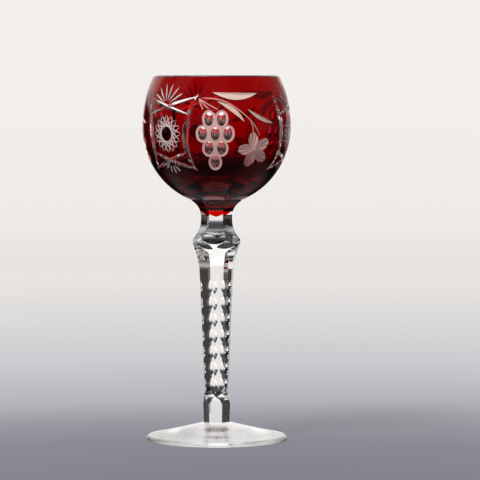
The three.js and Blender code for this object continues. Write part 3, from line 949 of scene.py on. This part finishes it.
def vine_panel():
    cuts = []
    grapes = Panel(GRAPES_ANGLE, WIDEST - GRAPES_BELOW_WIDEST)
    centres = []
    for row, count in enumerate(GRAPE_ROWS):
        height = ((len(GRAPE_ROWS) - 1) / 2 - row) * GRAPE_ROW
        centres += [((index - (count - 1) / 2) * GRAPE_COLUMN, height) for index in range(count)]
    for centre in centres:
        cuts.append(Oval(grapes, centre, GRAPE_HALF, MATT_DEPTH, MATT, hollow=0.3))
    cuts.append(Cluster(grapes, centres))
    for centre in centres:
        cuts.append(Oval(grapes, centre, GRAPE_LENS, LENS_DEPTH, POLISHED, start=MATT_DEPTH))
    flower = Panel(FLOWER_ANGLE, WIDEST - FLOWER_BELOW_WIDEST)
    for index in range(PETALS):
        turn = math.radians(FLOWER_TURN + 360 / PETALS * index)
        middle = PETAL_START + PETAL_LENGTH / 2
        centre = (middle * math.cos(turn), middle * math.sin(turn))
        half = (PETAL_LENGTH / 2, PETAL_WIDTH / 2)
        cuts.append(Oval(flower, centre, half, PETAL_DEPTH, PETAL_CUT, turn=turn, hollow=0.9))
    for angle, above, half_length, slope, *form in LEAVES:
        cuts.append(Leaf(Panel(angle, WIDEST + above), half_length, math.radians(slope), *form))
    vine = Panel(*VINE_PANEL)
    routes = [(MAIN_VINE, VINE_CUT, 41), (SIDE_VINE, STALK_CUT, 41)]
    routes += [(stalk, STALK_CUT, 21) for stalk in STALKS]
    for route, half_width, count in routes:
        places, _ = vine.drawn(on_bowl(*np.array(route).T, 0.0))
        cuts.append(Groove(vine, places, half_width, MATT, count=count, fullness=10.0))
    return cuts


# The neck's facets run on into the bottom of the bowl and end there in crescents
CRESCENT_RADIUS = 20.0
CRESCENT_STEEP = 0.559
CRESCENT_ROWS = 1201
CRESCENT_COLUMNS = 61
CRESCENT_EDGE = 0.002


class Crescent:
    """The end of a facet of the neck, drawn by angle and height, so that it needs no other panel."""

    finish = SATIN_CUT

    def __init__(self, angle):
        self.panel = self
        self.angle = angle
        self.foot = COLLAR_RADIUS - COLLAR_FACET_DEPTH
        run = CRESCENT_RADIUS - self.foot
        top = WIDEST - LOWER_DEPTH * math.sqrt(1 - (CRESCENT_RADIUS / BOWL_RADIUS) ** 2)
        self.bend = (CRESCENT_STEEP * run - (top - COLLAR)) / run**2

    def drawn(self, points):
        x, y, height = points.T
        return np.column_stack([np.degrees(np.arctan2(x, -y)), height]), height < EDGE_HEIGHTS[1]

    def placed(self, places):
        return places.T

    def depth(self, places):
        angle, height = places.T
        away = (angle - self.angle + 180) % 360 - 180
        run = bowl_radius(height) * np.cos(np.radians(away)) - self.foot
        facet = COLLAR + CRESCENT_STEEP * run - self.bend * run**2
        _, up = bowl_normal(height)
        return np.where(np.abs(away) < 180 / SIDES, np.clip((facet - height) * -up, 0, None), 0)

    # Upper and lower edge of the parts that are cut deeper than a level
    def lines(self):
        heights = np.linspace(COLLAR, EDGE_HEIGHTS[1], CRESCENT_ROWS)[:-1]
        angles = self.angle + np.linspace(-180 / SIDES, 180 / SIDES, CRESCENT_COLUMNS)
        found = []
        for level in (CRESCENT_EDGE, CASING):
            upper = []
            lower = []
            for angle in angles:
                places = np.column_stack([np.full_like(heights, angle), heights])
                deep = heights[self.depth(places) > level]
                if len(deep):
                    upper.append((angle, deep[-1]))
                    lower.append((angle, deep[0]))
            found.append(np.array(upper + lower[::-1] + upper[:1]))
        return found


CUTS = [*star_panel(), *vine_panel(), Crescent(STEM_TURN - 360 / SIDES), Crescent(STEM_TURN)]
PETAL_CUTS = [cut for cut in CUTS if cut.finish == PETAL_CUT]


# Depth of the deepest of some cuts at points on the bowl, and what is told of that cut there
def deepest_cut(cuts, angles, heights, tell):
    points = on_bowl(angles, heights, 0.0)
    deepest = np.zeros(len(angles))
    told = np.zeros(len(angles))
    for cut in cuts:
        places, facing = cut.panel.drawn(points)
        depth = np.where(facing, cut.depth(places), 0)
        told = np.where(depth > deepest, tell(cut, places), told)
        deepest = np.maximum(deepest, depth)
    return deepest, told


def cut_depth(angles, heights):
    depth, finish = deepest_cut(CUTS, angles, heights, lambda cut, places: cut.finish)
    return depth, finish.astype(int)


# How far across a petal's strokes points lie
def stroke_place(angles, heights):
    return deepest_cut(PETAL_CUTS, angles, heights, lambda cut, places: cut.stroke(places))[1]


FINE_STEP = 0.52
COARSE_STEP = 1.7
TOP_COLUMNS = 80
SIDE_ROWS = 60
MERGE_WITHIN = 1e-4
SECTOR_WIDTH = SECTOR * ACROSS


def hex_grid(step, width, height):
    points = []
    for index, row in enumerate(np.arange(step, height - step / 2, step * math.sqrt(3) / 2)):
        across = np.arange(step / 2 * (1 + index % 2), width - step / 4, step)
        points.append(np.column_stack([across, np.full_like(across, row)]))
    return np.concatenate(points)


# One third of the bowl's skin as triangles, whose edges follow every edge and valley of the cuts
def sector_triangles():
    points = []
    edges = []

    def add_line(x, y):
        first = len(points)
        points.extend(np.stack(np.broadcast_arrays(x, y), axis=1).tolist())
        edges.extend((index, index + 1) for index in range(first, len(points) - 1))

    across = np.linspace(0, SECTOR_WIDTH, TOP_COLUMNS + 1)
    upright = np.linspace(0, SKIN_HEIGHT, SIDE_ROWS + 1)
    add_line(across, 0.0)
    add_line(across, SKIN_HEIGHT)
    add_line(0.0, upright)
    add_line(SECTOR_WIDTH, upright)
    for cut in CUTS:
        for line in cut.lines():
            add_line(*to_flat(*cut.panel.placed(line)))
    for step, wanted in ((FINE_STEP, True), (COARSE_STEP, False)):
        grid = hex_grid(step, SECTOR_WIDTH, SKIN_HEIGHT)
        depth, _ = cut_depth(*from_flat(*grid.T))
        points.extend(grid[(depth > 0) == wanted].tolist())
    found = delaunay_2d_cdt([Vector(point) for point in points], edges, [], 0, MERGE_WITHIN, False)
    return np.array([tuple(point) for point in found[0]]), np.array([list(face) for face in found[2]])


class Skin:
    """The whole skin: sectors joined edge to edge. Each point has an angle, a height and a depth of cut."""

    def __init__(self):
        flat, triangles = sector_triangles()
        across, up = flat.T
        near = 1e-3
        count = len(flat)
        names = np.arange(count * PANELS).reshape(PANELS, count)
        left, right = (
            side[np.argsort(up[side])]
            for side in (np.flatnonzero(across < near), np.flatnonzero(across > SECTOR_WIDTH - near))
        )
        names[:, right] = np.roll(names, -1, axis=0)[:, left]
        angle, height = from_flat(across, up)
        depth, _ = cut_depth(angle, height)
        middle_depth, finish = cut_depth(*from_flat(*flat[triangles].mean(1).T))
        self.triangles = np.concatenate([names[panel][triangles] for panel in range(PANELS)])
        self.angle = np.concatenate([angle + SECTOR * panel for panel in range(PANELS)])
        self.height = np.tile(height, PANELS)
        self.depth = np.tile(depth, PANELS)
        self.stroke = np.tile(stroke_place(angle, height), PANELS)
        self.covered = np.tile(middle_depth < CASING, PANELS)
        self.whole = np.tile(middle_depth <= 0, PANELS)
        self.finish = np.tile(finish, PANELS)
        self.level_edges()
        self.bottom = self.ring(np.tile(up < near, PANELS))
        self.top = self.ring(np.tile(up > SKIN_HEIGHT - near, PANELS))

    # Points used along the top or bottom edge, in order round the glass
    def ring(self, chosen):
        used = np.intersect1d(np.flatnonzero(chosen), self.triangles)
        return used[np.argsort(self.angle[used] % 360)]

    # Points where ruby meets clear glass lie exactly at the ruby's thickness, and a triangle of such points
    # alone has no ruby left on it
    def level_edges(self):
        bare = self.covered
        while bare.any():
            clear = np.zeros(len(self.depth), bool)
            ruby = np.zeros(len(self.depth), bool)
            clear[self.triangles[~self.covered].ravel()] = True
            ruby[self.triangles[self.covered].ravel()] = True
            self.border = clear & ruby
            bare = self.covered & self.border[self.triangles].all(1)
            self.covered &= ~bare
            self.depth[self.border] = CASING

    # Covered triangles of each ruby patch, the largest patch first. The lowest number in a patch spreads
    # over the sides that its triangles share.
    def patches(self):
        chosen = np.flatnonzero(self.covered)
        corners = np.sort(self.triangles[chosen], axis=1)
        sides = np.concatenate([corners[:, [0, 1]], corners[:, [0, 2]], corners[:, [1, 2]]])
        names, side = np.unique(sides, axis=0, return_inverse=True)
        side = side.reshape(3, -1)
        number = np.arange(len(chosen))
        before = None
        while before is None or (number != before).any():
            before = number
            lowest = np.full(len(names), len(chosen))
            for row in side:
                np.minimum.at(lowest, row, number)
            number = lowest[side].min(0)
            number = number[number]
        groups = [chosen[number == name].tolist() for name in np.unique(number)]
        return sorted(groups, key=len, reverse=True)

    def points(self, depth):
        return on_bowl(self.angle, self.height, depth)

    def directions(self):
        return outward(self.angle, self.height)


# Clear bowl: fused under the ruby, open to the air in the cuts, with a round lip and a thick base
def make_bowl(skin):
    body = Body()
    outside = body.row(skin.points(np.maximum(skin.depth, CASING)), skin.directions())
    body.patch(outside[skin.triangles], np.where(skin.covered, JOINED, skin.finish), skin.covered)
    lip_round = RIM_WALL / 2
    profile = []
    for turn in np.radians(np.linspace(LIP_START, 180, LIP_STEPS)):
        height = RIM - lip_round + lip_round * math.sin(turn)
        profile.append((RIM_RADIUS - lip_round + lip_round * math.cos(turn), height))
    inner_radius = BOWL_RADIUS - BOWL_WALL
    lowest = TIP + BOWL_BASE
    upper = RIM - lip_round - WIDEST
    inner_reach = upper / math.sqrt(1 - ((RIM_RADIUS - RIM_WALL) / inner_radius) ** 2)
    for rise in np.linspace(upper, 0, UPPER_STEPS)[1:]:
        profile.append((inner_radius * math.sqrt(1 - (rise / inner_reach) ** 2), WIDEST + rise))
    for turn in np.radians(np.linspace(0, 90, CAVITY_STEPS))[1:-1]:
        across = math.cos(turn) ** (2 / CAVITY_FULLNESS)
        down = math.sin(turn) ** (2 / CAVITY_FULLNESS)
        profile.append((inner_radius * across, WIDEST - (WIDEST - lowest) * down))
    last = body.lathe(skin.angle[skin.top], profile, POLISHED, outside[skin.top])
    body.cap(last, lowest, POLISHED, True)
    add_tip(body, skin, outside[skin.bottom], -CASING, JOINED, JOINED, False)
    piece = body.make("bowl_crystal", BOWL_FINISHES, welded=False)
    strokes = np.zeros(len(body.points), np.float32)
    strokes[outside] = skin.stroke
    attribute = piece.data.attributes.new("stroke", "FLOAT", "POINT")
    attribute.data.foreach_set("value", strokes[body.used])
    return piece


# The tip of the bowl inside the stem, from the skin's lower edge inwards and down
def add_tip(body, skin, edge, grow, shoulder_kind, tip_kind, inside):
    angles = skin.angle[skin.bottom]
    seat = np.minimum(facet_reach(angles, COLLAR_RADIUS - COLLAR_FACET_DEPTH), COLLAR_RADIUS)
    profile, lowest = tip_profile(grow)
    shoulder = body.lathe(angles, [(seat + grow, COLLAR - grow)], shoulder_kind, edge, inside)
    last = body.lathe(angles, profile[1:], tip_kind, shoulder, inside)
    body.cap(last, lowest, tip_kind, inside)


RUBY_OUTSIDE, RUBY_INSIDE, RUBY_TIP = range(3)


# Ruby patches: thin at every cut edge, with the cut's slope as their border. Patches that the frame has no
# node for belong to the casing.
def make_ruby(skin):
    upper = skin.points(np.minimum(skin.depth, CASING))
    lower = skin.points(np.full(len(skin.depth), CASING))
    ways = skin.directions()
    casing, *others = skin.patches()
    groups = {"ruby_casing": casing}
    for patch in others:
        name = island_name(skin, patch)
        if name is None or name in groups:
            casing.extend(patch)
        else:
            groups[name] = patch
    pieces = []
    for name, group in groups.items():
        body = Body()
        top = body.row(upper, ways)
        under = body.row(lower, ways)
        under[skin.border] = top[skin.border]
        triangles = skin.triangles[group]
        body.patch(top[triangles], RUBY_OUTSIDE, skin.whole[group])
        body.patch(under[triangles][:, ::-1], RUBY_INSIDE)
        if name == "ruby_casing":
            body.band(top[skin.top], under[skin.top], RUBY_OUTSIDE)
            add_tip(body, skin, top[skin.bottom], 0.0, RUBY_OUTSIDE, RUBY_TIP, False)
            add_tip(body, skin, under[skin.bottom], -CASING, RUBY_INSIDE, RUBY_INSIDE, True)
        # Star buttons take the nearly black ruby, which is painted shade
        ruby = RUBY_IN_PAINTED_SHADE_GLASS if name.startswith("star_button") else RUBY_GLASS
        pieces.append((name, body.make(name + "_skin", [ruby, FUSED, FUSED_RUBY], welded=False)))
    return pieces


CORNER_LEAST = 2.0


# Which patch of a star panel a group of triangles is, if it is one that the frame has as a node
def island_name(skin, patch):
    corners = np.unique(skin.triangles[patch])
    points = on_bowl(skin.angle[corners], skin.height[corners], 0.0)
    for panel in range(PANELS):
        plane = Panel(STAR_ANGLE + SECTOR * panel, WIDEST - STAR_BELOW_WIDEST)
        places, facing = plane.drawn(points)
        if not facing.all():
            continue
        middle_x, middle_y = places.mean(0)
        spread = np.ptp(places[:, 1])
        if spread > 2 * STAR_RADIUS:
            return f"star_field_{panel + 1}"
        if np.hypot(*places.T).max() < STAR_RADIUS / 2 and math.hypot(middle_x, middle_y) < 1:
            return f"star_button_{panel + 1}"
        if abs(middle_x) > BAR_WAIST / 4 and abs(middle_y) > STAR_RADIUS and spread > CORNER_LEAST:
            level = "upper" if middle_y > 0 else "lower"
            side = "right" if middle_x > 0 else "left"
            return f"corner_{level}_{side}_{panel + 1}"
    return None


# Studio: a pale floor that darkens softly towards a place just in front of the glass, a painted glowing patch
# seen through the foot, and light from behind
FLOOR_RADIUS = 2600
FLOOR_COLUMNS = 96
# Shares of its radius between which the floor fades away
FLOOR_FADE = (0.55, 0.98)
FLOOR_DROP = 0.05
FLOOR_GLOW = 0.75
# A painted glowing patch under the foot, seen only through the glass: its radius, then its shades, with a
# painted shadow in the middle and painted light further out
PAINTED_GLOW_RADIUS = 44
PAINTED_GLOW_AND_SHADOW = (
    (0.0, (60, 60, 62)), (0.19, (70, 70, 72)), (0.27, (185, 185, 186)), (0.7, (208, 207, 207)),
    (0.93, (234, 233, 232)), (1.0, (242, 241, 240)),
)
FLOOR_DARKEST = (0, -300, 0)
FLOOR_SHADES = (
    (0.06, (128, 128, 136)), (0.115, (136, 136, 144)), (0.154, (151, 152, 159)), (0.198, (179, 180, 185)),
    (0.305, (205, 206, 210)), (0.448, (225, 224, 224)), (0.646, (243, 239, 236)), (0.94, (241, 237, 234)),
)


def add_floor():
    angles = np.arange(FLOOR_COLUMNS) * 360 / FLOOR_COLUMNS
    body = Body()
    edge = body.row(round_the_axis(angles, FLOOR_RADIUS, -FLOOR_DROP))
    body.cap(edge, -FLOOR_DROP, 0, True)
    floor = body.make("floor", [new_material("floor", floor_surface)])


# Polished glass sees the light behind the floor, and through the foot a painted glowing patch right under it,
# with a painted shadow in its middle under the stem
def floor_surface(tree):
    place = add_node(tree, "TexCoord")["Object"]

    def share_of(radius, centre=(0, 0, 0)):
        inputs = {0: place, 1: Vector(centre) * MM}
        distance = add_node(tree, "VectorMath", inputs, operation="DISTANCE")["Value"]
        return add_math(tree, "DIVIDE", distance, radius * MM)

    rays = add_node(tree, "LightPath")
    through = rays["Is Transmission Ray"]
    shade = ramp(tree, share_of(FLOOR_RADIUS, FLOOR_DARKEST), shades(FLOOR_SHADES))
    matt = add_node(tree, "BsdfDiffuse", {"Color": shade})["BSDF"]
    glow = add_node(tree, "Emission", {"Color": shade})["Emission"]
    plain = mix_shaders(tree, add_math(tree, "MULTIPLY", rays["Is Camera Ray"], FLOOR_GLOW), matt, glow)
    fade = map_range(tree, share_of(FLOOR_RADIUS), *FLOOR_FADE, "SMOOTHSTEP")
    clearness = add_math(tree, "MAXIMUM", fade, add_math(tree, "MAXIMUM", rays["Is Glossy Ray"], through))
    seen = mix_shaders(tree, clearness, plain, add_node(tree, "BsdfTransparent")["BSDF"])
    # Painted glow under the foot, for light through the glass only, with a painted shadow at its middle
    from_middle = share_of(PAINTED_GLOW_RADIUS)
    painted_glow = add_node(tree, "Emission", {"Color": ramp(tree, from_middle, shades(PAINTED_GLOW_AND_SHADOW))})["Emission"]
    under_foot = add_math(tree, "LESS_THAN", from_middle, 1.0)
    return mix_shaders(tree, add_math(tree, "MULTIPLY", under_foot, through), seen, painted_glow)


# Light by direction, in belts from low to high. Each screen: from and to which compass angle it stands, from
# the back and right positive, and its strength. Dark screens between bright ones draw the edges of the cuts.
LOW_LIGHT = (
    (-180, -162, 1.0), (-152, -132, 0.4), (-127, -98, 0.05), (-92, -70, 0.25), (-62, -23, 0.02),
    (-19, 36, 1.0), (41, 82, 0.06), (90, 116, 0.4), (121, 153, 0.05), (162, 180, 1.0),
)
MIDDLE_LIGHT = (
    (-180, -162, 1.0), (-152, -134, 0.4), (-129, -97, 0.05), (-92, -74, 0.3), (-64, 24, 1.3),
    (30, 48, 0.5), (54, 84, 0.1), (90, 116, 0.4), (120, 153, 0.05), (162, 180, 1.0),
)
HIGH_LIGHT = (
    (-180, -162, 1.0), (-150, -130, 0.3), (-124, -98, 1.0), (-92, -64, 0.3), (-52, 26, 1.2),
    (36, 94, 0.3), (100, 148, 0.4), (162, 180, 1.0),
)
FROM_FLOOR = 1.0
OVERHEAD = 0.2
# What takes over from the low belt, and between which heights in degrees it does
OTHER_LIGHTS = ((FROM_FLOOR, -26, -32), (MIDDLE_LIGHT, 4, 8), (HIGH_LIGHT, 11, 17), (OVERHEAD, 42, 60))
# Colours of the light by height, in degrees above the horizon
LOW_TO_HIGH = (
    (-90, (110, 110, 113)), (-60, (130, 130, 133)), (-45, (150, 150, 153)), (-34, (100, 100, 104)),
    (-27, (40, 40, 44)), (-19, (28, 28, 32)), (-12, (40, 40, 46)),
    (-8, (100, 100, 108)), (-6.6, (140, 141, 149)), (-5.9, (180, 181, 187)), (-5.1, (204, 205, 209)),
    (-4.4, (219, 219, 219)), (-3.7, (234, 230, 228)), (-2.9, (238, 234, 231)), (0, (243, 239, 236)),
    (40, (244, 242, 240)), (60, (240, 240, 240)), (90, (255, 255, 255)),
)


def sine(degrees):
    return math.sin(math.radians(degrees))


def set_world():
    world = bpy.data.worlds.new("studio")
    world.use_nodes = True
    tree = world.node_tree
    tree.nodes.clear()
    parts = add_node(tree, "SeparateXYZ", {"Vector": add_node(tree, "TexCoord")["Generated"]})
    rise = map_range(tree, parts["Z"], -1, 1)
    shade = ramp(tree, rise, shades(((sine(height) + 1) / 2, colour) for height, colour in LOW_TO_HIGH))
    turn = map_range(tree, add_math(tree, "ARCTAN2", parts["X"], parts["Y"]), -math.pi, math.pi)

    # A belt's strength round the compass, or one strength all round
    def strength_of(light):
        if isinstance(light, float):
            return light
        edges = [(edge / 360 + 0.5, (level,) * 3 + (1,)) for *ends, level in light for edge in ends]
        return ramp(tree, turn, edges)

    strength = strength_of(LOW_LIGHT)
    for light, start, end in OTHER_LIGHTS:
        share = map_range(tree, parts["Z"], sine(start), sine(end), "SMOOTHSTEP")
        inputs = {"Factor": share, "A": strength, "B": strength_of(light)}
        strength = add_node(tree, "Mix", inputs)["Result"]
    seen = add_math(tree, "MAXIMUM", add_node(tree, "LightPath")["Is Camera Ray"], strength)
    background = add_node(tree, "Background", {"Color": shade, "Strength": seen})["Background"]
    add_node(tree, "OutputWorld", {"Surface": background})
    bpy.context.scene.world = world


# A soft box above the camera's left shoulder lights the ground cuts. Polished glass doesn't mirror it.
LAMP_PLACE = (-700, -900, 1200)
LAMP_AIM = (0, 0, 160)
LAMP_SIZE = 600
LAMP_POWER = 30


def add_lamp():
    data = bpy.data.lights.new("soft_box", "AREA")
    data.shape = "SQUARE"
    data.size = LAMP_SIZE * MM
    data.energy = LAMP_POWER
    lamp = add_aimed("soft_box", data, LAMP_PLACE, LAMP_AIM)
    lamp.visible_glossy = False
    lamp.visible_transmission = False


# Light crosses many walls of glass
BOUNCES = {"max_bounces": 32, "transmission_bounces": 32, "glossy_bounces": 16, "transparent_max_bounces": 48}
for kind, count in BOUNCES.items():
    setattr(bpy.context.scene.cycles, kind, count)

add_camera()
set_world()
add_lamp()
add_floor()
bpy.context.scene.view_settings.view_transform = "Standard"

skin = Skin()
pieces = [
    ("foot", "clear_crystal", make_foot()),
    ("stem", "clear_crystal", make_stem()),
    ("crystal_bowl", "clear_crystal", make_bowl(skin)),
]
pieces += [(node, "ruby_glass", piece) for node, piece in make_ruby(skin)]
for node, slot, piece in pieces:
    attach(piece, "root")
    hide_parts(node)
